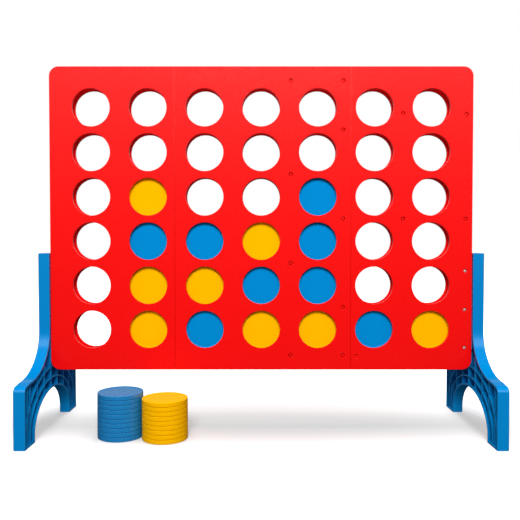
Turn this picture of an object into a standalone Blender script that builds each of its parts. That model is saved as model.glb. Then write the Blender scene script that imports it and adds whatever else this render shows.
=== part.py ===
"""A tabletop giant four in a row: a board of seven columns and six rows on two legs, with its discs.

+Z is up, +X runs along the board to the right and -Y is the front. The origin is on the ground under the
middle of the board. The board is a sandwich: three front and three back panels on six column dividers
and two end posts. The back of the board and the left leg are the front and the right leg turned half way
round the upright axis. A release slider under the columns holds the discs up.
"""

import math

import bmesh
import bpy
from mathutils import Matrix, Vector

MM = 0.001
GAP = 0.3 * MM  # between pieces that touch
OVERLAP = 1.0 * MM  # of shapes that become one piece

# Board
COLUMNS = 7
ROWS = 6
COLUMN_PITCH = 56.6 * MM
ROW_PITCH = 44.37 * MM
LOWEST_ROW_Z = 99.7 * MM
HOLE_RADIUS = 18.8 * MM
HOLE_SIDES = 24
BOARD_HALF_WIDTH = 211.25 * MM
BOARD_BOTTOM = 59.1 * MM
BOARD_TOP = 362.1 * MM
BOARD_HALF_DEPTH = 7.0 * MM
PANEL_THICKNESS = 3.0 * MM
PANEL_CORNER_RADIUS = 9.5 * MM
CORNER_STEPS = 5
PANEL_INNER_FACE = BOARD_HALF_DEPTH - PANEL_THICKNESS
FRONT_SEAMS = (-86.6 * MM, 89.7 * MM)
LEDGE_INNER_FACE = 2.9 * MM
LEDGE_BOTTOM = BOARD_BOTTOM + GAP
LEDGE_TOP = 60.8 * MM
LEDGE_HALF_WIDTH = 200.0 * MM

# Dividers and end posts between the panels
CHANNEL_WIDTH = 45.0 * MM
CORE_HALF_DEPTH = PANEL_INNER_FACE - GAP
CORE_TOP = BOARD_TOP - GAP
CORE_BOTTOM = 70.6 * MM
FOOT_SLOT_HALF_DEPTH = 2.1 * MM
FOOT_SLOT_TOP = 79.1 * MM
POST_HALF_WIDTH = BOARD_HALF_WIDTH - 0.35 * MM

# Snap pegs, whose ends lie below the panels' faces
PEG_RADIUS = 1.4 * MM
PEG_END = 6.2 * MM
PEG_SIDES = 8
PEG_HOLE_RADIUS = 2.0 * MM
TOP_PEG_Z = 348.0 * MM
BOTTOM_PEG_Z = 73.7 * MM
UPPER_SIDE_PEG_Z = 315.5 * MM
POST_UPPER_PEG_Z = 314.7 * MM
POST_PEG_X = 204.5 * MM
BLIND_DIMPLE = (95.6 * MM, 72.4 * MM)
BLIND_DIMPLE_DEPTH = 1.5 * MM

# Screws that hold the legs' tongues between the panels
SCREW_HEIGHTS = (158.4 * MM, 119.4 * MM, 81.0 * MM)
SCREW_HEAD_RADIUS = 1.5 * MM
SCREW_FRONT = 6.3 * MM
SCREW_HEAD_BACK = 5.1 * MM
SCREW_SHANK_RADIUS = 0.9 * MM
SCREW_TIP = 1.2 * MM
SCREW_SIDES = 12
SCREW_HOLE_RADIUS = SCREW_SHANK_RADIUS + GAP
SCREW_HOLE_END = SCREW_TIP - GAP
SCREW_SEAT = SCREW_HEAD_BACK - GAP

# Legs
LEG_INNER_FACE = 211.5 * MM
LEG_OUTER_FACE = 222.5 * MM
LEG_WALL = 2.0 * MM
LEG_TOP = 176.2 * MM
UPRIGHT_HALF_DEPTH = 10.0 * MM
FOOT_HALF_DEPTH = 76.5 * MM
SHOULDER_CENTRE = (71.0 * MM, 51.9 * MM)
SHOULDER_RADIUS = 5.5 * MM
SHOULDER_STEPS = 4
SWEEP_CENTRE = (62.0 * MM, 98.8 * MM)  # of the hollow curve between the upright and the shoulder
SWEEP_RADII = (52.0 * MM, 40.0 * MM)
SWEEP_STEPS = 10
ARCH_SPRING = 6.0 * MM
ARCH_RADII = (52.0 * MM, 34.0 * MM)
ARCH_STEPS = 20
RIB_THICKNESS = 1.2 * MM
RIB_SETBACK = 0.6 * MM
RIB_PITCH = 18.9 * MM
RIB_OFFSET = 4.2 * MM
RIBS_EACH_WAY = 3
FOOT_RIB_Y = 67.5 * MM
ARCH_RIB_OFFSETS = (9.6 * MM, 20.6 * MM)
TONGUE_INNER_FACE = 199.2 * MM
TONGUE_BOTTOM = 79.4 * MM
TONGUE_TOP = 175.9 * MM

# Release slider
SLIDER_BOTTOM = 61.1 * MM
SLIDER_TOP = 70.1 * MM
CROSSBAR_WIDTH = 12.2 * MM
WINDOW_HALF_DEPTH = 2.6 * MM
PRONG_WIDTH = 10.0 * MM
PRONG_HALF_DEPTH = 1.8 * MM
PRONG_TOP = 78.8 * MM
GRIP_BOTTOM = 58.3 * MM
GRIP_WIDTH = 11.0 * MM
GRIP_HALF_DEPTH = 2.3 * MM

# Discs
DISC_RADIUS = 21.8 * MM
DISC_THICKNESS = 4.1 * MM
DISC_SIDES = 24
STACK_GAP = 0.25 * MM
STACK_COUNTS = {"blue": 10, "yellow": 9}
STACK_PLACES = {"blue": (-136.1 * MM, -31.2 * MM), "yellow": (-92.2 * MM, -37.7 * MM)}
# The discs in each column from the bottom up, for the columns that hold any
BOARD_DISCS = {
    2: ("yellow", "yellow", "blue", "yellow"),
    3: ("blue", "yellow", "blue"),
    4: ("yellow", "blue", "yellow"),
    5: ("yellow", "blue", "blue", "blue"),
    6: ("blue",),
    7: ("yellow",),
}

# Name: base colour, roughness, metallic
COLOURS = {
    "red": ((0.80, 0.02, 0.03), 0.35, 0.0),
    "leg_blue": ((0.0, 0.22, 0.60), 0.38, 0.0),
    "blue": ((0.0, 0.17, 0.55), 0.38, 0.0),
    "yellow": ((0.95, 0.46, 0.0), 0.38, 0.0),
    "steel": ((0.75, 0.75, 0.76), 0.35, 1.0),
}

HALF_TURN = Matrix.Rotation(math.pi, 4, "Z")


def surface(name):
    colour, roughness, metallic = COLOURS[name]
    material = bpy.data.materials.new(name)
    material.use_nodes = True
    shader = material.node_tree.nodes["Principled BSDF"]
    shader.inputs["Base Color"].default_value = (*colour, 1.0)
    shader.inputs["Roughness"].default_value = roughness
    shader.inputs["Metallic"].default_value = metallic
    return material


def place(name, shape, material=None):
    """A mesh object from a bmesh. Without a material it is a cutter or a piece to be joined."""
    shape.normal_update()
    bmesh.ops.recalc_face_normals(shape, faces=shape.faces)
    mesh = bpy.data.meshes.new(name)
    shape.to_mesh(mesh)
    shape.free()
    placed = bpy.data.objects.new(name, mesh)
    bpy.context.scene.collection.objects.link(placed)
    if material:
        mesh.materials.append(material)
        mesh.shade_smooth()
        mesh.set_sharp_from_angle(angle=math.radians(40))
    else:
        placed.hide_render = True
        placed.display_type = "WIRE"
    return placed


def combine(piece, operation, other):
    modifier = piece.modifiers.new(other.name, "BOOLEAN")
    modifier.operation = operation
    modifier.object = other
    return piece


def add_box(shape, low, high):
    """A box between two corners, added to a bmesh."""
    low, high = Vector(low), Vector(high)
    middle = Matrix.Translation((low + high) / 2)
    bmesh.ops.create_cube(shape, size=1.0, matrix=middle @ Matrix.Diagonal((*(high - low), 1.0)))


def add_cylinder_along_y(shape, x, z, radius, low_y, high_y, sides):
    """A cylinder from low_y to high_y, with a corner of its polygon straight up."""
    place_at = Matrix.Translation((x, (low_y + high_y) / 2, z)) @ Matrix.Rotation(math.pi / 2, 4, "X")
    bmesh.ops.create_cone(
        shape,
        cap_ends=True,
        segments=sides,
        radius1=radius,
        radius2=radius,
        depth=high_y - low_y,
        matrix=place_at,
    )


def prism(points, lift):
    """A closed outline of 3D points, swept by the vector lift."""
    shape = bmesh.new()
    face = shape.faces.new([shape.verts.new(point) for point in points])
    swept = bmesh.ops.extrude_face_region(shape, geom=[face])
    moved = [item for item in swept["geom"] if isinstance(item, bmesh.types.BMVert)]
    bmesh.ops.translate(shape, vec=lift, verts=moved)
    return shape


def arc(centre, radii, start, end, steps):
    """Points of an elliptic arc, with angles in degrees."""
    angles = [math.radians(start + (end - start) * step / steps) for step in range(steps + 1)]
    return [(centre[0] + radii[0] * math.cos(a), centre[1] + radii[1] * math.sin(a)) for a in angles]


def column_x(column):
    """The middle of a column, counted from 1 at the left."""
    return (column - (COLUMNS + 1) / 2) * COLUMN_PITCH


def row_z(row):
    """The middle of a row of view holes, counted from 0 at the bottom. A half is between two rows."""
    return LOWEST_ROW_Z + row * ROW_PITCH


# The right half's pegs, by divider: how far the pegs stand from its middle, and their heights
DIVIDER_PEGS = {
    4: (1.2 * MM, (TOP_PEG_Z, row_z(3.5), row_z(1.5), BOTTOM_PEG_Z)),
    5: (-3.0 * MM, (TOP_PEG_Z, row_z(4.5), row_z(2.5), row_z(0.5), BOTTOM_PEG_Z)),
    6: (0.2 * MM, (UPPER_SIDE_PEG_Z, row_z(2.5))),
}
POST_PEG_HEIGHTS = (POST_UPPER_PEG_Z, row_z(2.5))


def divider_x(column):
    """The middle of the divider to the right of a column."""
    return column_x(column) + COLUMN_PITCH / 2


def front_peg_places():
    """(x, z) of every peg that comes through the front panels. They are all in the right half."""
    places = [
        (divider_x(column) + offset, height)
        for column, (offset, heights) in DIVIDER_PEGS.items()
        for height in heights
    ]
    return places + [(POST_PEG_X, height) for height in POST_PEG_HEIGHTS]


def panel_outline(left, right):
    """A panel's outline in x and z, with round corners where it reaches the board's sides."""
    radius = PANEL_CORNER_RADIUS
    points = []
    for corner_x, corner_z, start in (
        (right, BOARD_TOP, 0),
        (left, BOARD_TOP, 90),
        (left, BOARD_BOTTOM, 180),
        (right, BOARD_BOTTOM, 270),
    ):
        if abs(corner_x) < BOARD_HALF_WIDTH:
            points.append((corner_x, corner_z))
            continue
        centre_x = corner_x - math.copysign(radius, corner_x)
        centre_z = corner_z - radius if corner_z == BOARD_TOP else corner_z + radius
        points += arc((centre_x, centre_z), (radius, radius), start, start + 90, CORNER_STEPS)
    return points


def panel(name, left, right, columns, turn, material):
    """A front panel with its view, peg and screw holes and bottom ledge. A half turn makes it a back one."""
    outline = [(x, -BOARD_HALF_DEPTH, z) for x, z in panel_outline(left, right)]
    body = place(name, prism(outline, (0, PANEL_THICKNESS, 0)), material)

    ledge = bmesh.new()
    ledge_ends = max(left, -LEDGE_HALF_WIDTH), min(right, LEDGE_HALF_WIDTH)
    low = (ledge_ends[0], -PANEL_INNER_FACE - OVERLAP, LEDGE_BOTTOM)
    add_box(ledge, low, (ledge_ends[1], -LEDGE_INNER_FACE, LEDGE_TOP))
    combine(body, "UNION", place(name + ".ledge", ledge))

    holes = bmesh.new()
    through = (-BOARD_HALF_DEPTH - OVERLAP, -PANEL_INNER_FACE + OVERLAP)
    for column in columns:
        for row in range(ROWS):
            add_cylinder_along_y(holes, column_x(column), row_z(row), HOLE_RADIUS, *through, HOLE_SIDES)
    for x, z in front_peg_places():
        if left < x < right:
            add_cylinder_along_y(holes, x, z, PEG_HOLE_RADIUS, *through, PEG_SIDES)
    if left < BLIND_DIMPLE[0] < right:
        bottom = -BOARD_HALF_DEPTH + BLIND_DIMPLE_DEPTH
        add_cylinder_along_y(holes, *BLIND_DIMPLE, PEG_HOLE_RADIUS, through[0], bottom, PEG_SIDES)
    cutters = []
    if right == BOARD_HALF_WIDTH:
        shank_holes = bmesh.new()
        for z in SCREW_HEIGHTS:
            add_cylinder_along_y(holes, POST_PEG_X, z, PEG_HOLE_RADIUS, through[0], -SCREW_SEAT, PEG_SIDES)
            add_cylinder_along_y(shank_holes, POST_PEG_X, z, SCREW_HOLE_RADIUS, *through, PEG_SIDES)
        cutters.append(place(name + ".shank_holes", shank_holes))
    cutters.append(place(name + ".holes", holes))
    for cutter in cutters:
        combine(body, "DIFFERENCE", cutter)
    for piece in (body, *cutters, bpy.data.objects[name + ".ledge"]):
        piece.matrix_world = turn
    return body


def pegs(name, places):
    """Pegs that stand out of a core piece's front face, ready to be joined to it."""
    shape = bmesh.new()
    for x, z in places:
        add_cylinder_along_y(shape, x, z, PEG_RADIUS, -PEG_END, -CORE_HALF_DEPTH + OVERLAP, PEG_SIDES)
    return place(name + ".pegs", shape)


def foot_slot(name, low_x, high_x):
    """The slot that the slider's prongs pass through, ready to be cut."""
    slot = bmesh.new()
    low = (low_x - OVERLAP, -FOOT_SLOT_HALF_DEPTH, CORE_BOTTOM - OVERLAP)
    add_box(slot, low, (high_x + OVERLAP, FOOT_SLOT_HALF_DEPTH, FOOT_SLOT_TOP))
    return place(name + ".slot", slot)


def core_piece(name, body, slot, peg_group, turn):
    combine(body, "DIFFERENCE", slot)
    combine(body, "UNION", peg_group)
    for piece in (body, slot, peg_group):
        piece.matrix_world = turn
    return body


def divider(name, column, turn, material):
    """The divider to the right of a column in the right half, or its twin on the left."""
    middle = divider_x(column)
    half_width = (COLUMN_PITCH - CHANNEL_WIDTH) / 2
    bar = bmesh.new()
    low = (middle - half_width, -CORE_HALF_DEPTH, CORE_BOTTOM)
    add_box(bar, low, (middle + half_width, CORE_HALF_DEPTH, CORE_TOP))
    offset, heights = DIVIDER_PEGS[column]
    body = place(name, bar, material)
    slot = foot_slot(name, middle - half_width, middle + half_width)
    return core_piece(name, body, slot, pegs(name, [(middle + offset, z) for z in heights]), turn)


def end_post(name, turn, material):
    """The right end post, wide above the leg's tongue and narrow beside it."""
    inner_x = column_x(COLUMNS) + CHANNEL_WIDTH / 2 + GAP
    narrow_x = TONGUE_INNER_FACE - 0.7 * MM
    shoulder_z = LEG_TOP + GAP
    radius = PANEL_CORNER_RADIUS
    corner = arc((POST_HALF_WIDTH - radius, CORE_TOP - radius), (radius, radius), 0, 90, CORNER_STEPS)
    outline = [(inner_x, CORE_BOTTOM), (narrow_x, CORE_BOTTOM), (narrow_x, shoulder_z)]
    outline += [(POST_HALF_WIDTH, shoulder_z), *corner, (inner_x, CORE_TOP)]
    points = [(x, -CORE_HALF_DEPTH, z) for x, z in outline]
    body = place(name, prism(points, (0, 2 * CORE_HALF_DEPTH, 0)), material)
    slot = foot_slot(name, inner_x, narrow_x)
    peg_group = pegs(name, [(POST_PEG_X, z) for z in POST_PEG_HEIGHTS])
    return core_piece(name, body, slot, peg_group, turn)


def leg_outline(inset):
    """A leg's outline in y and z, moved inwards by inset."""
    arch_radii = (ARCH_RADII[0] + inset, ARCH_RADII[1] + inset)
    sweep_radii = (SWEEP_RADII[0] + inset, SWEEP_RADII[1] + inset)
    shoulder_radii = (SHOULDER_RADIUS - inset, SHOULDER_RADIUS - inset)
    back = [(UPRIGHT_HALF_DEPTH - inset, LEG_TOP - inset)]
    back += arc(SWEEP_CENTRE, sweep_radii, 180, 270, SWEEP_STEPS)
    back += arc(SHOULDER_CENTRE, shoulder_radii, 90, 0, SHOULDER_STEPS)
    back += [(FOOT_HALF_DEPTH - inset, inset), (arch_radii[0], inset)]
    front = [(-y, z) for y, z in reversed(back)]
    return back + arc((0, ARCH_SPRING), arch_radii, 0, 180, ARCH_STEPS) + front


def arch_band(offset):
    """The outline in y and z of a rib that follows the arch at a distance."""
    inner = (ARCH_RADII[0] + offset, ARCH_RADII[1] + offset)
    outer = (inner[0] + RIB_THICKNESS, inner[1] + RIB_THICKNESS)
    ends = [(-inner[0], 0), (-outer[0], 0)]
    band = [(inner[0], 0), *arc((0, ARCH_SPRING), inner, 0, 180, ARCH_STEPS), *ends]
    return band + [*arc((0, ARCH_SPRING), outer, 180, 0, ARCH_STEPS), (outer[0], 0)]


def leg_prism(outline, low_x, high_x):
    return prism([(low_x, y, z) for y, z in outline], (high_x - low_x, 0, 0))


def leg(name, turn, material):
    """The right leg: a shell open towards the board, ribbed inside, with a tongue between the panels."""
    body = place(name, leg_prism(leg_outline(0), LEG_INNER_FACE, LEG_OUTER_FACE), material)

    plate = LEG_OUTER_FACE - LEG_WALL
    hollow = place(name + ".hollow", leg_prism(leg_outline(LEG_WALL), LEG_INNER_FACE - OVERLAP, plate))
    rib_face = LEG_INNER_FACE + RIB_SETBACK
    uprights = bmesh.new()
    rib_places = [RIB_OFFSET + RIB_PITCH * n for n in range(-RIBS_EACH_WAY, RIBS_EACH_WAY + 1)]
    for y in (-FOOT_RIB_Y, *rib_places, FOOT_RIB_Y):
        low = (rib_face, y - RIB_THICKNESS / 2, -OVERLAP)
        add_box(uprights, low, (plate + OVERLAP, y + RIB_THICKNESS / 2, LEG_TOP))
    cutters = [hollow, place(name + ".uprights", uprights)]
    combine(hollow, "DIFFERENCE", cutters[-1])
    for number, offset in enumerate(ARCH_RIB_OFFSETS, start=1):
        band = place(f"{name}.arch_rib_{number}", leg_prism(arch_band(offset), rib_face, plate + OVERLAP))
        combine(hollow, "DIFFERENCE", band)
        cutters.append(band)
    combine(body, "DIFFERENCE", hollow)

    tongue = bmesh.new()
    low = (TONGUE_INNER_FACE, -CORE_HALF_DEPTH, TONGUE_BOTTOM)
    add_box(tongue, low, (plate + OVERLAP, CORE_HALF_DEPTH, TONGUE_TOP))
    cutters.append(place(name + ".tongue", tongue))
    combine(body, "UNION", cutters[-1])
    bores = bmesh.new()
    for z in SCREW_HEIGHTS:
        ends = (-CORE_HALF_DEPTH - OVERLAP, -SCREW_HOLE_END)
        add_cylinder_along_y(bores, POST_PEG_X, z, SCREW_HOLE_RADIUS, *ends, PEG_SIDES)
    cutters.append(place(name + ".bores", bores))
    combine(body, "DIFFERENCE", cutters[-1])
    for piece in (body, *cutters):
        piece.matrix_world = turn
    return body


def leg_screws(side, turn, material):
    """The three screws of the right leg, or their twins on the left."""
    for number, z in enumerate(SCREW_HEIGHTS, start=1):
        name = f"leg_screw_{side}_{number}"
        head = bmesh.new()
        ends = (-SCREW_FRONT, -SCREW_HEAD_BACK)
        add_cylinder_along_y(head, POST_PEG_X, z, SCREW_HEAD_RADIUS, *ends, SCREW_SIDES)
        shank = bmesh.new()
        ends = (-SCREW_HEAD_BACK - OVERLAP / 2, -SCREW_TIP)
        add_cylinder_along_y(shank, POST_PEG_X, z, SCREW_SHANK_RADIUS, *ends, SCREW_SIDES)
        screw = place(name, head, material)
        joined = place(name + ".shank", shank)
        combine(screw, "UNION", joined)
        for piece in (screw, joined):
            piece.matrix_world = turn


def release_slider(material):
    """A bar with a window between each two columns, and a prong under the middle of each column."""
    end = column_x(COLUMNS) + CROSSBAR_WIDTH / 2
    bar = bmesh.new()
    add_box(bar, (-end, -CORE_HALF_DEPTH, SLIDER_BOTTOM), (end, CORE_HALF_DEPTH, SLIDER_TOP))
    body = place("release_slider", bar, material)

    windows = bmesh.new()
    half_length = (COLUMN_PITCH - CROSSBAR_WIDTH) / 2
    for column in range(1, COLUMNS):
        middle = divider_x(column)
        low = (middle - half_length, -WINDOW_HALF_DEPTH, SLIDER_BOTTOM - OVERLAP)
        add_box(windows, low, (middle + half_length, WINDOW_HALF_DEPTH, SLIDER_TOP + OVERLAP))
    combine(body, "DIFFERENCE", place("release_slider.windows", windows))

    added = bmesh.new()
    for column in range(1, COLUMNS + 1):
        middle = column_x(column)
        low = (middle - PRONG_WIDTH / 2, -PRONG_HALF_DEPTH, SLIDER_TOP - OVERLAP)
        add_box(added, low, (middle + PRONG_WIDTH / 2, PRONG_HALF_DEPTH, PRONG_TOP))
    for column in (1, COLUMNS):
        middle = column_x(column)
        low = (middle - GRIP_WIDTH / 2, -GRIP_HALF_DEPTH, GRIP_BOTTOM)
        add_box(added, low, (middle + GRIP_WIDTH / 2, GRIP_HALF_DEPTH, SLIDER_BOTTOM + OVERLAP))
    combine(body, "UNION", place("release_slider.prongs", added))
    return body


def disc(name, location, standing, material):
    """A disc with its origin in its middle, standing on its edge or lying flat."""
    shape = bmesh.new()
    turned = Matrix.Rotation(math.pi / 2, 4, "X") if standing else Matrix.Identity(4)
    bmesh.ops.create_cone(
        shape,
        cap_ends=True,
        segments=DISC_SIDES,
        radius1=DISC_RADIUS,
        radius2=DISC_RADIUS,
        depth=DISC_THICKNESS,
        matrix=turned,
    )
    placed = place(name, shape, material)
    placed.location = location
    return placed


def build_board(material):
    identity = Matrix.Identity(4)
    bounds = (-BOARD_HALF_WIDTH, *FRONT_SEAMS, BOARD_HALF_WIDTH)
    sides = ("left", "middle", "right")
    columns = (range(1, 3), range(3, 6), range(6, 8))
    for number, side in enumerate(sides):
        left = bounds[number] + (GAP / 2 if number > 0 else 0)
        right = bounds[number + 1] - (GAP / 2 if number < len(sides) - 1 else 0)
        panel(f"front_panel_{side}", left, right, columns[number], identity, material)
        panel(f"back_panel_{sides[-1 - number]}", left, right, columns[number], HALF_TURN, material)
    for column in DIVIDER_PEGS:
        divider(f"column_divider_{column}_{column + 1}", column, identity, material)
        twin = COLUMNS - column
        divider(f"column_divider_{twin}_{twin + 1}", column, HALF_TURN, material)
    end_post("end_post_right", identity, material)
    end_post("end_post_left", HALF_TURN, material)


def build_discs(materials):
    for column, colours in BOARD_DISCS.items():
        for number, colour in enumerate(colours, start=1):
            height = PRONG_TOP + GAP + DISC_RADIUS + (number - 1) * (2 * DISC_RADIUS + GAP)
            place_at = (column_x(column), 0, height)
            disc(f"disc_column_{column}_{number}_{colour}", place_at, True, materials[colour])
    for colour, (x, y) in STACK_PLACES.items():
        for number in range(1, STACK_COUNTS[colour] + 1):
            height = DISC_THICKNESS / 2 + (number - 1) * (DISC_THICKNESS + STACK_GAP)
            disc(f"disc_stack_{colour}_{number}", (x, y, height), False, materials[colour])


def main():
    for item in list(bpy.data.objects):
        bpy.data.objects.remove(item, do_unlink=True)
    materials = {name: surface(name) for name in COLOURS}
    build_board(materials["red"])
    for side, turn in (("right", Matrix.Identity(4)), ("left", HALF_TURN)):
        leg(f"leg_{side}", turn, materials["leg_blue"])
        leg_screws(side, turn, materials["steel"])
    release_slider(materials["leg_blue"])
    build_discs(materials)


main()
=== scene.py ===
"""Looks of the giant four in a row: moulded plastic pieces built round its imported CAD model.

Everything is in metres in the model's own frame: +Z is up, +X runs along the board and -Y is the front.
The back of the board and the left leg are the front and the right leg turned half way round.
"""

import math

import bmesh
import bpy
from mathutils import Matrix, Vector


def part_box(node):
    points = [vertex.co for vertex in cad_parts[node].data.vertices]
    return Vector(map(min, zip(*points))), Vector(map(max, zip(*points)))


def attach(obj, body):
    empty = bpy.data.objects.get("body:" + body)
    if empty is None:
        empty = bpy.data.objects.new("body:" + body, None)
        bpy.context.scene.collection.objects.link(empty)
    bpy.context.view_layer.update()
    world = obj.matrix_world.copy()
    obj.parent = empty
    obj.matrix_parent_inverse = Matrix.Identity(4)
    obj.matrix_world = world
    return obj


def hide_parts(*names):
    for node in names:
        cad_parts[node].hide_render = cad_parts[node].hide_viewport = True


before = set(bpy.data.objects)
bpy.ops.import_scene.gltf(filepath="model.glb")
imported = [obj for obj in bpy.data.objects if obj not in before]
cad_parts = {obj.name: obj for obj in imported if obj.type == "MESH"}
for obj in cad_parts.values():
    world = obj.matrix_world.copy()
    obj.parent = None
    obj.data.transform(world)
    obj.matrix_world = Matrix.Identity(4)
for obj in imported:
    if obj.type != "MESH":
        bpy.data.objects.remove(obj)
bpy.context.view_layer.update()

MM = 0.001
HALF_TURN = Matrix.Rotation(math.pi, 4, "Z")
EDGE_STEPS = 4  # of a rounded edge
CIRCLE_STEPS = 64
SHARP_ANGLE = math.radians(35)  # edges sharper than this keep a crease in the shading
BEVEL_ANGLE = math.radians(50)  # edges sharper than this are rounded by a bevel
BEVEL_STEPS = 2
NORMAL_WEIGHT = 90  # how much large faces lead in smooth shading, out of 100
OVERLAP = 1.0 * MM  # of shapes that become one piece
GAP = 0.3 * MM  # between the board's inner parts

# Board, as in the CAD model
COLUMNS = 7
ROWS = 6
COLUMN_PITCH = 56.6 * MM
ROW_PITCH = 44.37 * MM
LOWEST_ROW_Z = 99.7 * MM
HOLE_RADIUS = 18.8 * MM
BOARD_LOW, BOARD_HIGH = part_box("front_panel_left")[0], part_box("front_panel_right")[1]
BOARD_HALF_WIDTH = BOARD_HIGH.x
BOARD_BOTTOM = BOARD_LOW.z
BOARD_TOP = BOARD_HIGH.z
BOARD_HALF_DEPTH = -BOARD_LOW.y
PANEL_THICKNESS = 3.0 * MM
PANEL_CORNER_RADIUS = 9.5 * MM
CORNER_STEPS = 12
PANEL_EDGE = (0.35 * MM, 0.8 * MM)  # depth and width of the rounded edge of a panel's front face
VIEW_HOLE_EDGE = (0.3 * MM, 0.4 * MM)  # the same round a view hole
PANEL_INNER_EDGE = (0.12 * MM, 0.12 * MM)  # the same on its inner face
SEAM_REACH = 0.1 * MM  # how far a panel reaches into the gap at a seam
LEDGE_INNER_FACE = 2.9 * MM
LEDGE_BOTTOM = BOARD_BOTTOM + GAP
LEDGE_TOP = 60.8 * MM
LEDGE_HALF_WIDTH = 200.0 * MM

# Dividers and end posts
CHANNEL_WIDTH = 45.0 * MM
CORE_HALF_DEPTH = 3.7 * MM
CORE_TOP = BOARD_TOP - GAP
CORE_BOTTOM = 70.6 * MM
CORE_EDGE_RADIUS = 0.5 * MM
FOOT_SLOT_HALF_DEPTH = 2.1 * MM  # of the slot at the bottom where the slider runs
FOOT_SLOT_TOP = 79.1 * MM
POST_HALF_WIDTH = 210.9 * MM
POST_NARROW_X = 198.5 * MM
POST_SHOULDER_Z = 176.5 * MM

# Snap pegs
PEG_RADIUS = 1.4 * MM
PEG_END = 6.2 * MM
PEG_DOME = (0.35 * MM, 0.4 * MM)  # depth and width of the rounding of its end
PEG_STEPS = 24
PEG_HOLE_RADIUS = 2.0 * MM
PEG_HOLE_EDGE = (0.4 * MM, 0.35 * MM)
TOP_PEG_Z = 348.0 * MM
BOTTOM_PEG_Z = 73.7 * MM
UPPER_SIDE_PEG_Z = 315.5 * MM
POST_UPPER_PEG_Z = 314.7 * MM
POST_PEG_X = 204.5 * MM

# A blind hole beside a peg: a ring-shaped groove round a boss, with its centre's x and z
DIMPLE_CENTRE = (95.6 * MM, 72.4 * MM)
DIMPLE_DEPTH = 1.5 * MM
BOSS_DEPTH = 0.3 * MM
BOSS_EDGE_DEPTH = 0.4 * MM
BOSS_FOOT_RADIUS = 1.1 * MM
BOSS_EDGE_RADIUS = 1.05 * MM
BOSS_TOP_RADIUS = 0.9 * MM

# Screws that hold the legs' tongues between the panels
SCREW_HEIGHTS = (158.4 * MM, 119.4 * MM, 81.0 * MM)
SCREW_HEAD_RADIUS = 1.5 * MM
SCREW_FRONT = 6.3 * MM  # this and the other places along a screw are measured from the board's middle
SCREW_HEAD_BACK = 5.1 * MM
SCREW_SEAT = 4.8 * MM
SCREW_TIP = 1.2 * MM
SCREW_HOLE_END = 0.9 * MM
SCREW_DOME = (0.7 * MM, 1.2 * MM)
SCREW_HEAD_EDGE = (0.1 * MM, 0.1 * MM)
SCREW_SHANK_RADIUS = 0.9 * MM
SCREW_POINT = 0.7 * SCREW_SHANK_RADIUS  # length and width of the sloping point
SCREW_HOLE_RADIUS = 1.2 * MM

# Legs
LEG_INNER_FACE = 211.5 * MM
LEG_OUTER_FACE = 222.5 * MM
LEG_WALL = 2.0 * MM
LEG_TOP = 176.2 * MM
LEG_EDGE = (1.3 * MM, 1.3 * MM)
LEG_RIM_EDGE = (0.35 * MM, 0.35 * MM)
TONGUE_EDGE_RADIUS = 0.35 * MM
UPRIGHT_HALF_DEPTH = 10.0 * MM
FOOT_HALF_DEPTH = 76.5 * MM
SHOULDER_CENTRE = (71.0 * MM, 51.9 * MM)
SHOULDER_RADIUS = 5.5 * MM
SHOULDER_STEPS = 10
SWEEP_CENTRE = (62.0 * MM, 98.8 * MM)
SWEEP_RADII = (52.0 * MM, 40.0 * MM)
SWEEP_STEPS = 28
ARCH_SPRING = 6.0 * MM
ARCH_RADII = (52.0 * MM, 34.0 * MM)
ARCH_STEPS = 48
RIB_THICKNESS = 1.2 * MM
RIB_SETBACK = 0.6 * MM
RIB_PITCH = 18.9 * MM
RIB_OFFSET = 4.2 * MM  # of the middle upright rib from the leg's middle
RIBS_EACH_WAY = 3
FOOT_RIB_Y = 67.5 * MM
ARCH_RIB_OFFSETS = (9.6 * MM, 20.6 * MM)
TONGUE_INNER_FACE = 199.2 * MM
TONGUE_BOTTOM = 79.4 * MM
TONGUE_TOP = 175.9 * MM

# Slider
SLIDER_EDGE_RADIUS = 0.4 * MM
SLIDER_WELD = 0.01 * MM

# Discs
DISC_STEPS = 96
DISC_RIM_WIDTH = 1.2 * MM
DISC_RECESS = 0.5 * MM
DISC_SLOPE = 1.2 * DISC_RECESS  # width of the steepest part of the slope down from the rim
DISC_EDGE_RADIUS = 0.5 * MM
DISC_EDGE_STEPS = 6

# Surroundings: their brightness in reflections by the direction's height from -1 to 1, and on matt surfaces
FRONT_REFLECTIONS = (
    (-1.0, 0.0),
    (-0.2, 0.03),
    (0.0, 0.10),
    (0.13, 0.4),
    (0.27, 0.95),
    (0.48, 2.9),
    (0.62, 2.9),
    (0.72, 0.4),
    (1.0, 0.0),
)
BACK_REFLECTIONS = ((-1.0, 0.0), (0.0, 0.2), (0.15, 0.45), (0.3, 0.45), (0.45, 0.05), (1.0, 0.0))
BRIGHTEST_REFLECTION = 4.0
FILL = 0.17

# Floor, which begins to glow at one distance from the board's middle and glows fully from another. The glow
# is
# painted light: it lifts the floor to white round the board and so narrows the board's shadow to a soft band.
# A place on it is scaled and then moved by the stretch and the offset before its distance is taken.
FLOOR_HALF_SIZE = 6.0
FLOOR_DROP = 0.1 * MM  # below the feet, so that they don't share a face
FLOOR_SHADE = (0.57, 0.57, 0.57, 1.0)
GLOW_STRETCH = (0.25, 1.0, 0.0)
GLOW_OFFSET = (0.0, -0.01, 0.0)
GLOW_START = 0.02
GLOW_FULL = 0.17
WHITE = (1.0, 1.0, 1.0, 1.0)


# Materials


def set_inputs(node, values):
    for name, value in values.items():
        node.inputs[name].default_value = value


def noise(material, scale, detail):
    """Noise in the piece's own coordinates, so that the pattern moves with it."""
    tree = material.node_tree
    coordinates = tree.nodes.new("ShaderNodeTexCoord")
    texture = tree.nodes.new("ShaderNodeTexNoise")
    set_inputs(texture, {"Scale": scale, "Detail": detail})
    tree.links.new(coordinates.outputs["Object"], texture.inputs["Vector"])
    return texture.outputs["Fac"]


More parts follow.
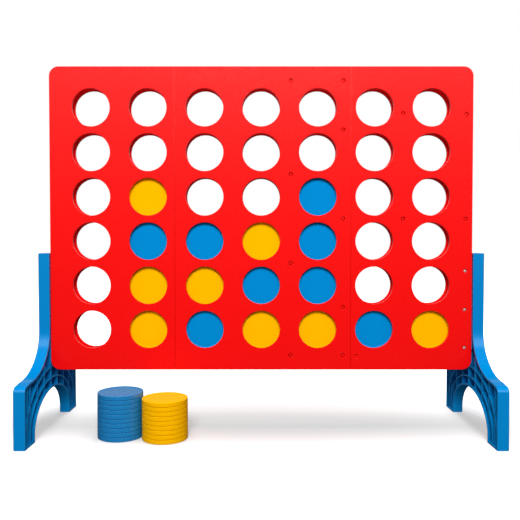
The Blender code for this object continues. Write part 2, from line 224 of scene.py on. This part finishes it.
def spread(material, factor, low, high):
    """Noise, which stays between about 0.3 and 0.7, mapped to a range."""
    tree = material.node_tree
    mapped = tree.nodes.new("ShaderNodeMapRange")
    set_inputs(mapped, {"From Min": 0.3, "From Max": 0.7, "To Min": low, "To Max": high})
    tree.links.new(factor, mapped.inputs["Value"])
    return mapped.outputs["Result"]


def bump(material, height, strength, distance, below=None):
    """A bump in the surface, on top of another bump if one is given."""
    tree = material.node_tree
    node = tree.nodes.new("ShaderNodeBump")
    set_inputs(node, {"Strength": strength, "Distance": distance})
    tree.links.new(height, node.inputs["Height"])
    if below:
        tree.links.new(below, node.inputs["Normal"])
    return node.outputs["Normal"]


def moulded_plastic(name, colour, roughness, shine):
    """Moulded plastic: slightly uneven in colour and gloss, with a fine skin and a faint waviness."""
    mottle = 0.008
    gloss_change = 0.02
    material = bpy.data.materials.new(name)
    material.use_nodes = True
    tree = material.node_tree
    shader = tree.nodes["Principled BSDF"]
    shader.inputs["Specular IOR Level"].default_value = shine

    shade = tree.nodes.new("ShaderNodeMix")
    shade.data_type = "RGBA"
    shade.inputs["A"].default_value = (*[channel * (1 - mottle) for channel in colour], 1.0)
    shade.inputs["B"].default_value = (*[channel * (1 + mottle) for channel in colour], 1.0)
    patches = noise(material, scale=22, detail=3)
    tree.links.new(spread(material, patches, 0.0, 1.0), shade.inputs["Factor"])
    tree.links.new(shade.outputs["Result"], shader.inputs["Base Color"])

    smears = noise(material, scale=90, detail=4)
    gloss = spread(material, smears, roughness - gloss_change, roughness + gloss_change)
    tree.links.new(gloss, shader.inputs["Roughness"])

    skin_bump = bump(material, noise(material, scale=1400, detail=2), 0.012, 0.1 * MM)
    wave_bump = bump(material, noise(material, scale=30, detail=1), 0.05, 0.15 * MM, skin_bump)
    tree.links.new(wave_bump, shader.inputs["Normal"])
    return material


def plated_steel(name):
    """Dull zinc plate with a pink tint, which is a painted reflection of the red board round the heads:
    patchy in gloss, with a fine rough grain.
    """
    material = bpy.data.materials.new(name)
    material.use_nodes = True
    tree = material.node_tree
    shader = tree.nodes["Principled BSDF"]
    # Painted reflection: the pink in the base colour stands in for the red board reflected in the screw
    # heads.
    set_inputs(shader, {"Base Color": (0.80, 0.62, 0.62, 1.0), "Metallic": 0.7})
    gloss = spread(material, noise(material, scale=900, detail=3), 0.3, 0.5)
    tree.links.new(gloss, shader.inputs["Roughness"])
    grain = bump(material, noise(material, scale=4000, detail=1), 0.15, 0.05 * MM)
    tree.links.new(grain, shader.inputs["Normal"])
    return material


# Colour, roughness and strength of the shine
RED = moulded_plastic("board_red_plastic", (0.87, 0.002, 0.0015), 0.28, 0.5)
LEG_BLUE = moulded_plastic("leg_blue_plastic", (0.0, 0.213, 0.55), 0.22, 0.4)
DISC_BLUE = moulded_plastic("disc_blue_plastic", (0.0, 0.24, 0.61), 0.3, 0.08)
# The loose discs' colours are darker copies of the board discs' colours: painted shade for the stacks.
SHADED_LOOSE_BLUE = moulded_plastic("loose_disc_blue_painted_shade", (0.010, 0.185, 0.45), 0.28, 0.5)
DISC_YELLOW = moulded_plastic("disc_yellow_plastic", (0.95, 0.475, 0.0), 0.35, 0.02)
SHADED_LOOSE_YELLOW = moulded_plastic("loose_disc_yellow_painted_shade", (0.90, 0.44, 0.0), 0.35, 0.02)
STEEL = plated_steel("screw_zinc_plate")


# Shapes


def add_box(shape, low, high):
    low, high = Vector(low), Vector(high)
    middle = Matrix.Translation((low + high) / 2)
    bmesh.ops.create_cube(shape, size=1.0, matrix=middle @ Matrix.Diagonal((*(high - low), 1.0)))


def arc(centre, radii, start, end, steps):
    """Points of an elliptic arc, with angles in degrees."""
    angles = [math.radians(start + (end - start) * step / steps) for step in range(steps + 1)]
    return [(centre[0] + radii[0] * math.cos(a), centre[1] + radii[1] * math.sin(a)) for a in angles]


def circle(centre, radius, steps):
    return arc(centre, (radius, radius), 90, 450, steps)[:-1]


def rounded_rim(thickness, near, far):
    """(depth, inset) pairs that go over a plate's edge from its near face to its far face.

    near and far are the depth and width of the rounding of each edge."""
    angles = [math.pi / 2 * step / EDGE_STEPS for step in range(EDGE_STEPS + 1)]
    near_rim = [(near[0] * (1 - math.cos(a)), near[1] * (1 - math.sin(a))) for a in angles]
    far_rim = [(thickness - far[0] * (1 - math.cos(a)), far[1] * (1 - math.sin(a))) for a in angles]
    return near_rim + far_rim[::-1]


def skin(shape, rings):
    """Faces between each ring of points and the next. Returns the first and last rings of vertices."""
    rows = [[shape.verts.new(point) for point in ring] for ring in rings]
    for row, following in zip(rows, rows[1:]):
        for i in range(len(row)):
            shape.faces.new((row[i - 1], row[i], following[i], following[i - 1]))
    return rows[0], rows[-1]


def fill(shape, rows):
    """Flat faces between an outline's vertices and those of the holes in it."""
    edges = [shape.edges.get((row[i - 1], row[i])) for row in rows for i in range(len(row))]
    bmesh.ops.triangle_fill(shape, use_beauty=True, use_dissolve=False, edges=edges)


def closed(rings):
    """A solid from rings of points, with a flat face over the first and the last."""
    shape = bmesh.new()
    for end in skin(shape, rings):
        shape.faces.new(end)
    return shape


def mesh_of(name, shape, material=None):
    bmesh.ops.recalc_face_normals(shape, faces=shape.faces)
    mesh = bpy.data.meshes.new(name)
    shape.to_mesh(mesh)
    shape.free()
    if material:
        mesh.materials.append(material)
    return mesh


def add_object(name, data):
    added = bpy.data.objects.new(name, data)
    bpy.context.scene.collection.objects.link(added)
    return added


def place(name, shape, material=None):
    """A mesh object from a bmesh. Without a material it is only there to cut or join another."""
    return add_object(name, mesh_of(name, shape, material))


def add_bevel(piece, radius):
    bevel = piece.modifiers.new("edges", "BEVEL")
    bevel.width = radius
    bevel.segments = BEVEL_STEPS
    bevel.limit_method = "ANGLE"
    bevel.angle_limit = BEVEL_ANGLE


def combine(piece, operation, others, edge_radius=0):
    """Cuts or joins other shapes, rounds sharp edges if asked to, and applies the result."""
    for other in others:
        modifier = piece.modifiers.new(other.name, "BOOLEAN")
        modifier.operation = operation
        modifier.object = other
        modifier.solver = "EXACT"
    if edge_radius:
        add_bevel(piece, edge_radius)
    evaluated = piece.evaluated_get(bpy.context.evaluated_depsgraph_get())
    unmodified = piece.data
    material = unmodified.materials[0] if unmodified.materials else None
    piece.data = bpy.data.meshes.new_from_object(evaluated)
    piece.modifiers.clear()
    bpy.data.meshes.remove(unmodified)
    piece.data.materials.clear()
    if material:
        piece.data.materials.append(material)
    for polygon in piece.data.polygons:
        polygon.material_index = 0
    for other in others:
        bpy.data.objects.remove(other, do_unlink=True)
    return piece


def finish_piece(piece, node, body, turn=None):
    """Smooths a piece's shading and puts it in the place of a CAD node."""
    piece.data.shade_smooth()
    piece.data.set_sharp_from_angle(angle=SHARP_ANGLE)
    normals = piece.modifiers.new("normals", "WEIGHTED_NORMAL")
    normals.keep_sharp = True
    normals.weight = NORMAL_WEIGHT
    if turn:
        piece.matrix_world = turn
    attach(piece, body)
    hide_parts(node)
    return piece


def twin(piece, name, node, body):
    """The same shape turned half way round."""
    return finish_piece(add_object(name, piece.data), node, body, HALF_TURN)


# Board


def column_x(column):
    return (column - (COLUMNS + 1) / 2) * COLUMN_PITCH


def divider_x(column):
    return column_x(column) + COLUMN_PITCH / 2


def row_z(row):
    return LOWEST_ROW_Z + row * ROW_PITCH


# The right half's pegs, by divider: how far the pegs stand from its middle, and their heights
DIVIDER_PEGS = {
    4: (1.2 * MM, (TOP_PEG_Z, row_z(3.5), row_z(1.5), BOTTOM_PEG_Z)),
    5: (-3.0 * MM, (TOP_PEG_Z, row_z(4.5), row_z(2.5), row_z(0.5), BOTTOM_PEG_Z)),
    6: (0.2 * MM, (UPPER_SIDE_PEG_Z, row_z(2.5))),
}
POST_PEG_HEIGHTS = (POST_UPPER_PEG_Z, row_z(2.5))


def front_peg_places():
    """(x, z) of every peg that comes through the front panels."""
    places = [
        (divider_x(column) + offset, height)
        for column, (offset, heights) in DIVIDER_PEGS.items()
        for height in heights
    ]
    return places + [(POST_PEG_X, height) for height in POST_PEG_HEIGHTS]


def panel_outline(left, right, inset):
    """A panel's outline in x and z, moved inwards by inset, with round corners at the board's sides."""
    points = []
    for corner_x, corner_z, inward_x, inward_z, start in (
        (right, BOARD_TOP, -1, -1, 0),
        (left, BOARD_TOP, 1, -1, 90),
        (left, BOARD_BOTTOM, 1, 1, 180),
        (right, BOARD_BOTTOM, -1, 1, 270),
    ):
        if abs(corner_x) < BOARD_HALF_WIDTH - OVERLAP:
            points.append((corner_x + inward_x * inset, corner_z + inward_z * inset))
            continue
        centre = (corner_x + inward_x * PANEL_CORNER_RADIUS, corner_z + inward_z * PANEL_CORNER_RADIUS)
        radius = PANEL_CORNER_RADIUS - inset
        points += arc(centre, (radius, radius), start, start + 90, CORNER_STEPS)
    return points


def screw_rim():
    """(depth, inset) pairs down a screw's counterbore and the narrower hole below its seat."""
    seat = BOARD_HALF_DEPTH - SCREW_SEAT
    step = SCREW_HOLE_RADIUS - PEG_HOLE_RADIUS
    mouth = rounded_rim(seat, PEG_HOLE_EDGE, (0, 0))[: EDGE_STEPS + 1]
    return [*mouth, (seat, 0), (seat, step), (PANEL_THICKNESS, step)]


def dimple_rim():
    """(depth, inset) pairs down the wall of the blind dimple's groove and up its boss."""
    mouth = rounded_rim(DIMPLE_DEPTH, PEG_HOLE_EDGE, (0, 0))[: EDGE_STEPS + 1]
    boss = [(DIMPLE_DEPTH, BOSS_FOOT_RADIUS), (BOSS_EDGE_DEPTH, BOSS_EDGE_RADIUS)]
    boss.append((BOSS_DEPTH, BOSS_TOP_RADIUS))
    return [*mouth, (DIMPLE_DEPTH, 0), *[(depth, radius - PEG_HOLE_RADIUS) for depth, radius in boss]]


def panel(name, columns):
    """A front panel with its view, peg and screw holes and bottom ledge."""
    low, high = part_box(name)
    left = low.x if low.x < -BOARD_HALF_WIDTH + OVERLAP else low.x - SEAM_REACH
    right = high.x if high.x > BOARD_HALF_WIDTH - OVERLAP else high.x + SEAM_REACH
    shape = bmesh.new()

    def edge(outline, rim):
        rings = []
        for depth, inset in rim:
            rings.append([(x, -BOARD_HALF_DEPTH + depth, z) for x, z in outline(inset)])
        return skin(shape, rings)

    def hole(centre, radius, steps, rim):
        return edge(lambda inset: circle(centre, radius + inset, steps), rim)

    wide_rim = rounded_rim(PANEL_THICKNESS, PANEL_EDGE, PANEL_INNER_EDGE)
    view_rim = rounded_rim(PANEL_THICKNESS, VIEW_HOLE_EDGE, PANEL_INNER_EDGE)
    peg_rim = rounded_rim(PANEL_THICKNESS, PEG_HOLE_EDGE, PEG_HOLE_EDGE)
    ends = [edge(lambda inset: panel_outline(left, right, inset), wide_rim)]
    for column in columns:
        for row in range(ROWS):
            ends.append(hole((column_x(column), row_z(row)), HOLE_RADIUS, CIRCLE_STEPS, view_rim))
    for centre in front_peg_places():
        if low.x < centre[0] < high.x:
            ends.append(hole(centre, PEG_HOLE_RADIUS, PEG_STEPS, peg_rim))
    if high.x > BOARD_HALF_WIDTH - OVERLAP:
        for height in SCREW_HEIGHTS:
            ends.append(hole((POST_PEG_X, height), PEG_HOLE_RADIUS, PEG_STEPS, screw_rim()))
    fronts = [front for front, back in ends]
    backs = [back for front, back in ends]
    if low.x < DIMPLE_CENTRE[0] < high.x:
        front, boss = hole(DIMPLE_CENTRE, PEG_HOLE_RADIUS, PEG_STEPS, dimple_rim())
        fronts.append(front)
        shape.faces.new(boss)
    fill(shape, fronts)
    fill(shape, backs)
    body = place(name + "_moulding", shape, RED)

    ledge = bmesh.new()
    ledge_front = -BOARD_HALF_DEPTH + PANEL_THICKNESS - OVERLAP
    ledge_low = (max(low.x, -LEDGE_HALF_WIDTH), ledge_front, LEDGE_BOTTOM)
    ledge_high = (min(high.x, LEDGE_HALF_WIDTH), -LEDGE_INNER_FACE, LEDGE_TOP)
    add_box(ledge, ledge_low, ledge_high)
    return combine(body, "UNION", [place("ledge", ledge)])


def peg(x, z):
    """A peg with a rounded end, from inside the core to below the panel's front face."""
    length = PEG_END - CORE_HALF_DEPTH + OVERLAP
    rings = []
    for depth, inset in rounded_rim(length, PEG_DOME, (0, 0))[: EDGE_STEPS + 2]:
        rings.append([(px, -PEG_END + depth, pz) for px, pz in circle((x, z), PEG_RADIUS - inset, PEG_STEPS)])
    return place("peg", closed(rings))


def swept(points, lift):
    """A solid made by moving a closed outline of 3D points along the vector lift."""
    return closed([points, [tuple(Vector(point) + Vector(lift)) for point in points]])


def divider(column):
    """The divider to the right of a column in the right half."""
    low_x = divider_x(column) - (COLUMN_PITCH - CHANNEL_WIDTH) / 2
    deep, shallow = CORE_HALF_DEPTH, FOOT_SLOT_HALF_DEPTH
    outline = [(-deep, CORE_BOTTOM), (-deep, CORE_TOP), (deep, CORE_TOP), (deep, CORE_BOTTOM)]
    outline += [(shallow, CORE_BOTTOM), (shallow, FOOT_SLOT_TOP), (-shallow, FOOT_SLOT_TOP)]
    outline.append((-shallow, CORE_BOTTOM))
    points = [(low_x, y, z) for y, z in outline]
    name = f"column_divider_{column}_{column + 1}_bar"
    bar = place(name, swept(points, (COLUMN_PITCH - CHANNEL_WIDTH, 0, 0)), RED)
    combine(bar, "UNION", [], CORE_EDGE_RADIUS)
    offset, heights = DIVIDER_PEGS[column]
    return combine(bar, "UNION", [peg(divider_x(column) + offset, z) for z in heights])


def end_post():
    """The right end post, wide above the leg's tongue and narrow beside it."""
    inner_x = column_x(COLUMNS) + CHANNEL_WIDTH / 2 + GAP
    radius = PANEL_CORNER_RADIUS
    corner = arc((POST_HALF_WIDTH - radius, CORE_TOP - radius), (radius, radius), 0, 90, CORNER_STEPS)
    outline = [(inner_x, CORE_BOTTOM), (POST_NARROW_X, CORE_BOTTOM), (POST_NARROW_X, POST_SHOULDER_Z)]
    outline += [(POST_HALF_WIDTH, POST_SHOULDER_Z), *corner, (inner_x, CORE_TOP)]
    points = [(x, -CORE_HALF_DEPTH, z) for x, z in outline]
    post = place("end_post_right_bar", swept(points, (0, 2 * CORE_HALF_DEPTH, 0)), RED)
    slot = bmesh.new()
    low = (inner_x - OVERLAP, -FOOT_SLOT_HALF_DEPTH, CORE_BOTTOM - OVERLAP)
    add_box(slot, low, (POST_NARROW_X + OVERLAP, FOOT_SLOT_HALF_DEPTH, FOOT_SLOT_TOP))
    combine(post, "DIFFERENCE", [place("slot", slot)], CORE_EDGE_RADIUS)
    return combine(post, "UNION", [peg(POST_PEG_X, z) for z in POST_PEG_HEIGHTS])


def build_board():
    for side, opposite, columns in (
        ("left", "right", (1, 2)),
        ("middle", "middle", (3, 4, 5)),
        ("right", "left", (6, 7)),
    ):
        name = f"front_panel_{side}"
        front = finish_piece(panel(name, columns), name, "board")
        behind = f"back_panel_{opposite}"
        twin(front, behind + "_moulding", behind, "board")
    for column in DIVIDER_PEGS:
        name = f"column_divider_{column}_{column + 1}"
        bar = finish_piece(divider(column), name, "board")
        opposite = f"column_divider_{COLUMNS - column}_{COLUMNS - column + 1}"
        twin(bar, opposite + "_bar", opposite, "board")
    post = finish_piece(end_post(), "end_post_right", "board")
    twin(post, "end_post_left_bar", "end_post_left", "board")


# Legs


def leg_outline(inset):
    """A leg's outline in y and z, moved inwards by inset."""
    arch_radii = (ARCH_RADII[0] + inset, ARCH_RADII[1] + inset)
    sweep_radii = (SWEEP_RADII[0] + inset, SWEEP_RADII[1] + inset)
    shoulder_radii = (SHOULDER_RADIUS - inset, SHOULDER_RADIUS - inset)
    back = [(UPRIGHT_HALF_DEPTH - inset, LEG_TOP - inset)]
    back += arc(SWEEP_CENTRE, sweep_radii, 180, 270, SWEEP_STEPS)
    back += arc(SHOULDER_CENTRE, shoulder_radii, 90, 0, SHOULDER_STEPS)
    back += [(FOOT_HALF_DEPTH - inset, inset), (arch_radii[0], inset)]
    front = [(-y, z) for y, z in reversed(back)]
    return back + arc((0, ARCH_SPRING), arch_radii, 0, 180, ARCH_STEPS) + front


def arch_band(offset):
    """The outline in y and z of a rib that follows the arch at a distance."""
    inner = (ARCH_RADII[0] + offset, ARCH_RADII[1] + offset)
    outer = (inner[0] + RIB_THICKNESS, inner[1] + RIB_THICKNESS)
    band = [(inner[0], 0), *arc((0, ARCH_SPRING), inner, 0, 180, ARCH_STEPS), (-inner[0], 0)]
    return band + [(-outer[0], 0), *arc((0, ARCH_SPRING), outer, 180, 0, ARCH_STEPS), (outer[0], 0)]


def leg_prism(name, outline, low_x, high_x):
    return place(name, swept([(low_x, y, z) for y, z in outline], (high_x - low_x, 0, 0)))


def screw_bore(height):
    """The shape of the blind hole for a screw in the leg's tongue."""
    rings = []
    for y in (-CORE_HALF_DEPTH - OVERLAP, -SCREW_HOLE_END):
        rings.append([(px, y, pz) for px, pz in circle((POST_PEG_X, height), SCREW_HOLE_RADIUS, PEG_STEPS)])
    return place("bore", closed(rings))


def leg():
    """The right leg: a shell open towards the board, ribbed inside, with a tongue between the panels."""
    rings = []
    for depth, inset in rounded_rim(LEG_OUTER_FACE - LEG_INNER_FACE, LEG_EDGE, LEG_RIM_EDGE):
        rings.append([(LEG_OUTER_FACE - depth, y, z) for y, z in leg_outline(inset)])
    body = place("leg_right_shell", closed(rings), LEG_BLUE)

    plate = LEG_OUTER_FACE - LEG_WALL
    hollow = leg_prism("hollow", leg_outline(LEG_WALL), LEG_INNER_FACE - OVERLAP, plate)
    rib_face = LEG_INNER_FACE + RIB_SETBACK
    uprights = bmesh.new()
    rib_places = [RIB_OFFSET + RIB_PITCH * n for n in range(-RIBS_EACH_WAY, RIBS_EACH_WAY + 1)]
    for y in (-FOOT_RIB_Y, *rib_places, FOOT_RIB_Y):
        low = (rib_face, y - RIB_THICKNESS / 2, -OVERLAP)
        add_box(uprights, low, (plate + OVERLAP, y + RIB_THICKNESS / 2, LEG_TOP))
    ribs = [place("uprights", uprights)]
    for offset in ARCH_RIB_OFFSETS:
        ribs.append(leg_prism(f"arch_rib_{len(ribs)}", arch_band(offset), rib_face, plate + OVERLAP))
    combine(hollow, "DIFFERENCE", ribs)
    combine(body, "DIFFERENCE", [hollow])

    tongue = bmesh.new()
    low = (TONGUE_INNER_FACE, -CORE_HALF_DEPTH, TONGUE_BOTTOM)
    add_box(tongue, low, (plate + OVERLAP, CORE_HALF_DEPTH, TONGUE_TOP))
    combine(body, "UNION", [place("tongue", tongue)], TONGUE_EDGE_RADIUS)
    return combine(body, "DIFFERENCE", [screw_bore(height) for height in SCREW_HEIGHTS])


def screw_mesh():
    """A screw with a domed head and a pointed shank, with its origin on its axis in the board's middle."""
    head = rounded_rim(SCREW_FRONT - SCREW_HEAD_BACK, SCREW_DOME, SCREW_HEAD_EDGE)
    profile = [(-SCREW_FRONT + depth, SCREW_HEAD_RADIUS - inset) for depth, inset in head]
    profile.append((-SCREW_HEAD_BACK, SCREW_SHANK_RADIUS))
    profile.append((-SCREW_TIP - SCREW_POINT, SCREW_SHANK_RADIUS))
    profile.append((-SCREW_TIP, SCREW_SHANK_RADIUS - SCREW_POINT))
    rings = [[(x, y, z) for x, z in circle((0, 0), radius, PEG_STEPS)] for y, radius in profile]
    return mesh_of("leg_screw", closed(rings), STEEL)


def build_screws():
    mesh = screw_mesh()
    for side, turn in (("right", Matrix.Identity(4)), ("left", HALF_TURN)):
        for number, z in enumerate(SCREW_HEIGHTS, start=1):
            node = f"leg_screw_{side}_{number}"
            piece = add_object(node + "_plated", mesh)
            finish_piece(piece, node, "board", turn @ Matrix.Translation((POST_PEG_X, 0, z)))


# Slider and discs


def dress_slider():
    """The CAD slider with soft edges."""
    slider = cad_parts["release_slider"]
    slider.data.materials.clear()
    slider.data.materials.append(LEG_BLUE)
    weld = slider.modifiers.new("weld", "WELD")
    weld.merge_threshold = SLIDER_WELD
    add_bevel(slider, SLIDER_EDGE_RADIUS)


def disc_mesh(name, material, radius, thickness):
    """A disc lying flat, with a raised rim round both faces and rounded edges."""
    half = thickness / 2
    rim_inner = radius - DISC_EDGE_RADIUS - DISC_RIM_WIDTH
    upper = []
    for slopes_outwards, fall in ((-1.6, 1.0), (-1.0, 0.9), (0.0, 0.1), (0.6, 0.0)):
        upper.append((rim_inner + DISC_SLOPE * slopes_outwards, half - DISC_RECESS * fall))
    edge_centre = (radius - DISC_EDGE_RADIUS, half - DISC_EDGE_RADIUS)
    upper += arc(edge_centre, (DISC_EDGE_RADIUS, DISC_EDGE_RADIUS), 90, 0, DISC_EDGE_STEPS)
    profile = upper + [(r, -z) for r, z in reversed(upper)]
    rings = [[(x, y, z) for x, y in circle((0, 0), r, DISC_STEPS)] for r, z in profile]
    return mesh_of(name, closed(rings), material)


def build_discs():
    """A disc for each in the CAD model: upright in the board, and flat in a stack, where its darker colour is
    painted shade.
    """
    low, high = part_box("disc_stack_blue_1")
    radius, thickness = (high.x - low.x) / 2, high.z - low.z
    meshes = {
        "blue": disc_mesh("blue_disc", DISC_BLUE, radius, thickness),
        "loose_blue": disc_mesh("loose_blue_disc", SHADED_LOOSE_BLUE, radius, thickness),
        "yellow": disc_mesh("yellow_disc", DISC_YELLOW, radius, thickness),
        "loose_yellow": disc_mesh("loose_yellow_disc", SHADED_LOOSE_YELLOW, radius, thickness),
    }
    for node in sorted(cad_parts):
        if not node.startswith("disc_"):
            continue
        colour = "blue" if "blue" in node else "yellow"
        low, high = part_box(node)
        standing = node.startswith("disc_column")
        # A disc in a stack takes the darker copy of its colour, which is painted shade.
        mesh_name = colour if standing else "loose_" + colour
        piece = add_object(node + "_moulded", meshes[mesh_name])
        tilt = Matrix.Rotation(math.pi / 2, 4, "X") if standing else Matrix.Identity(4)
        finish_piece(piece, node, node, Matrix.Translation((low + high) / 2) @ tilt)


# Stage


def build_floor():
    """A pale floor that glows away from the object's middle, so that it is white but for a soft shadow:
    painted light that sets the shadow's width.
    """
    shape = bmesh.new()
    bmesh.ops.create_grid(shape, x_segments=8, y_segments=8, size=FLOOR_HALF_SIZE)
    material = bpy.data.materials.new("floor_painted_glow")
    material.use_nodes = True
    tree = material.node_tree
    shader = tree.nodes["Principled BSDF"]
    set_inputs(shader, {"Base Color": FLOOR_SHADE, "Emission Color": WHITE})
    set_inputs(shader, {"Roughness": 0.9, "Specular IOR Level": 0.0})
    coordinates = tree.nodes.new("ShaderNodeTexCoord")
    distance = tree.nodes.new("ShaderNodeVectorMath")
    distance.operation = "LENGTH"
    stretch = tree.nodes.new("ShaderNodeVectorMath")
    stretch.operation = "MULTIPLY_ADD"
    stretch.inputs[1].default_value = GLOW_STRETCH
    stretch.inputs[2].default_value = GLOW_OFFSET
    tree.links.new(coordinates.outputs["Object"], stretch.inputs[0])
    tree.links.new(stretch.outputs["Vector"], distance.inputs[0])
    glow = tree.nodes.new("ShaderNodeMapRange")
    glow.interpolation_type = "SMOOTHSTEP"
    set_inputs(glow, {"From Min": GLOW_START, "From Max": GLOW_FULL, "To Min": 0.0, "To Max": 1.0})
    tree.links.new(distance.outputs["Value"], glow.inputs["Value"])
    # Painted light: the glow lifts the floor to white away from the board and so sets where the board's
    # shadow ends.
    tree.links.new(glow.outputs["Result"], shader.inputs["Emission Strength"])
    floor = place("floor", shape, material)
    floor.location.z = -FLOOR_DROP
    floor.visible_glossy = False
    floor.visible_diffuse = False


def area_light(name, location, target, size, power):
    """A rectangular light that points at a target and isn't seen in gloss. Power is in watts."""
    light = bpy.data.lights.new(name, "AREA")
    light.shape = "RECTANGLE"
    light.size, light.size_y = size
    light.energy = power
    lamp = add_object(name, light)
    lamp.location = location
    direction = Vector(target) - Vector(location)
    lamp.rotation_euler = direction.to_track_quat("-Z", "Y").to_euler()
    lamp.visible_glossy = False


def set_curve(node, points):
    """A float curve through (direction's height, strength) pairs, with a height of -1 to 1."""
    mapping = node.mapping
    mapping.clip_min_x = -1.0
    mapping.clip_max_x = 1.0
    mapping.clip_min_y = 0.0
    mapping.clip_max_y = BRIGHTEST_REFLECTION
    curve = mapping.curves[0]
    for index, (height, strength) in enumerate(points):
        if index < 2:
            curve.points[index].location = (height, strength)
        else:
            curve.points.new(height, strength)
    mapping.update()


def build_world():
    """White where it is seen, dim and even as fill light, and in reflections as bright as the curves say."""
    world = bpy.data.worlds.new("studio")
    bpy.context.scene.world = world
    world.cycles.sampling_method = "NONE"
    world.use_nodes = True
    tree = world.node_tree
    tree.nodes.clear()
    coordinates = tree.nodes.new("ShaderNodeTexCoord")
    parts = tree.nodes.new("ShaderNodeSeparateXYZ")
    tree.links.new(coordinates.outputs["Generated"], parts.inputs["Vector"])
    in_front = tree.nodes.new("ShaderNodeMapRange")
    set_inputs(in_front, {"From Min": 0.3, "From Max": -0.3, "To Min": 0.0, "To Max": 1.0})
    tree.links.new(parts.outputs["Y"], in_front.inputs["Value"])
    reflected_strength = tree.nodes.new("ShaderNodeMix")
    tree.links.new(in_front.outputs["Result"], reflected_strength.inputs["Factor"])
    for side, points in (("A", BACK_REFLECTIONS), ("B", FRONT_REFLECTIONS)):
        by_height = tree.nodes.new("ShaderNodeFloatCurve")
        set_curve(by_height, points)
        tree.links.new(parts.outputs["Z"], by_height.inputs["Value"])
        tree.links.new(by_height.outputs["Value"], reflected_strength.inputs[side])

    def background(strength):
        node = tree.nodes.new("ShaderNodeBackground")
        set_inputs(node, {"Color": WHITE, "Strength": strength})
        return node

    def choose(ray, otherwise, chosen):
        mix = tree.nodes.new("ShaderNodeMixShader")
        tree.links.new(rays.outputs[ray], mix.inputs["Fac"])
        tree.links.new(otherwise, mix.inputs[1])
        tree.links.new(chosen, mix.inputs[2])
        return mix.outputs["Shader"]

    rays = tree.nodes.new("ShaderNodeLightPath")
    reflected = background(1.0)
    tree.links.new(reflected_strength.outputs["Result"], reflected.inputs["Strength"])
    light = choose("Is Glossy Ray", background(FILL).outputs["Background"], reflected.outputs["Background"])
    seen = choose("Is Camera Ray", light, background(1.0).outputs["Background"])
    output = tree.nodes.new("ShaderNodeOutputWorld")
    tree.links.new(seen, output.inputs["Surface"])


def build_stage():
    build_floor()
    build_world()
    area_light("overhead", (0, 0, 1.5), (0, 0, 0), (1.1, 0.64), 18.5)
    area_light("front", (0, -1.3, 0.9), (0, 0, 0.2), (0.6, 0.5), 24.5)
    area_light("rear", (0, 1.3, 0.9), (0, 0, 0.2), (0.6, 0.5), 9)
    bpy.context.scene.view_settings.view_transform = "Standard"


def build_camera():
    tilt_down = 0.0253
    camera = bpy.data.cameras.new("camera")
    camera.sensor_width = 36.0
    camera.lens = 42.785
    camera.shift_x = -0.00234
    camera.shift_y = -0.00323
    camera.clip_start = 0.01
    holder = add_object("camera", camera)
    holder.location = (0.0, -0.62568, 0.18682)
    holder.rotation_euler = (math.pi / 2 - tilt_down, 0.0, 0.0)
    bpy.context.scene.camera = holder


build_camera()
build_board()
right_leg = finish_piece(leg(), "leg_right", "board")
twin(right_leg, "leg_left_shell", "leg_left", "board")
build_screws()
dress_slider()
build_discs()
build_stage()
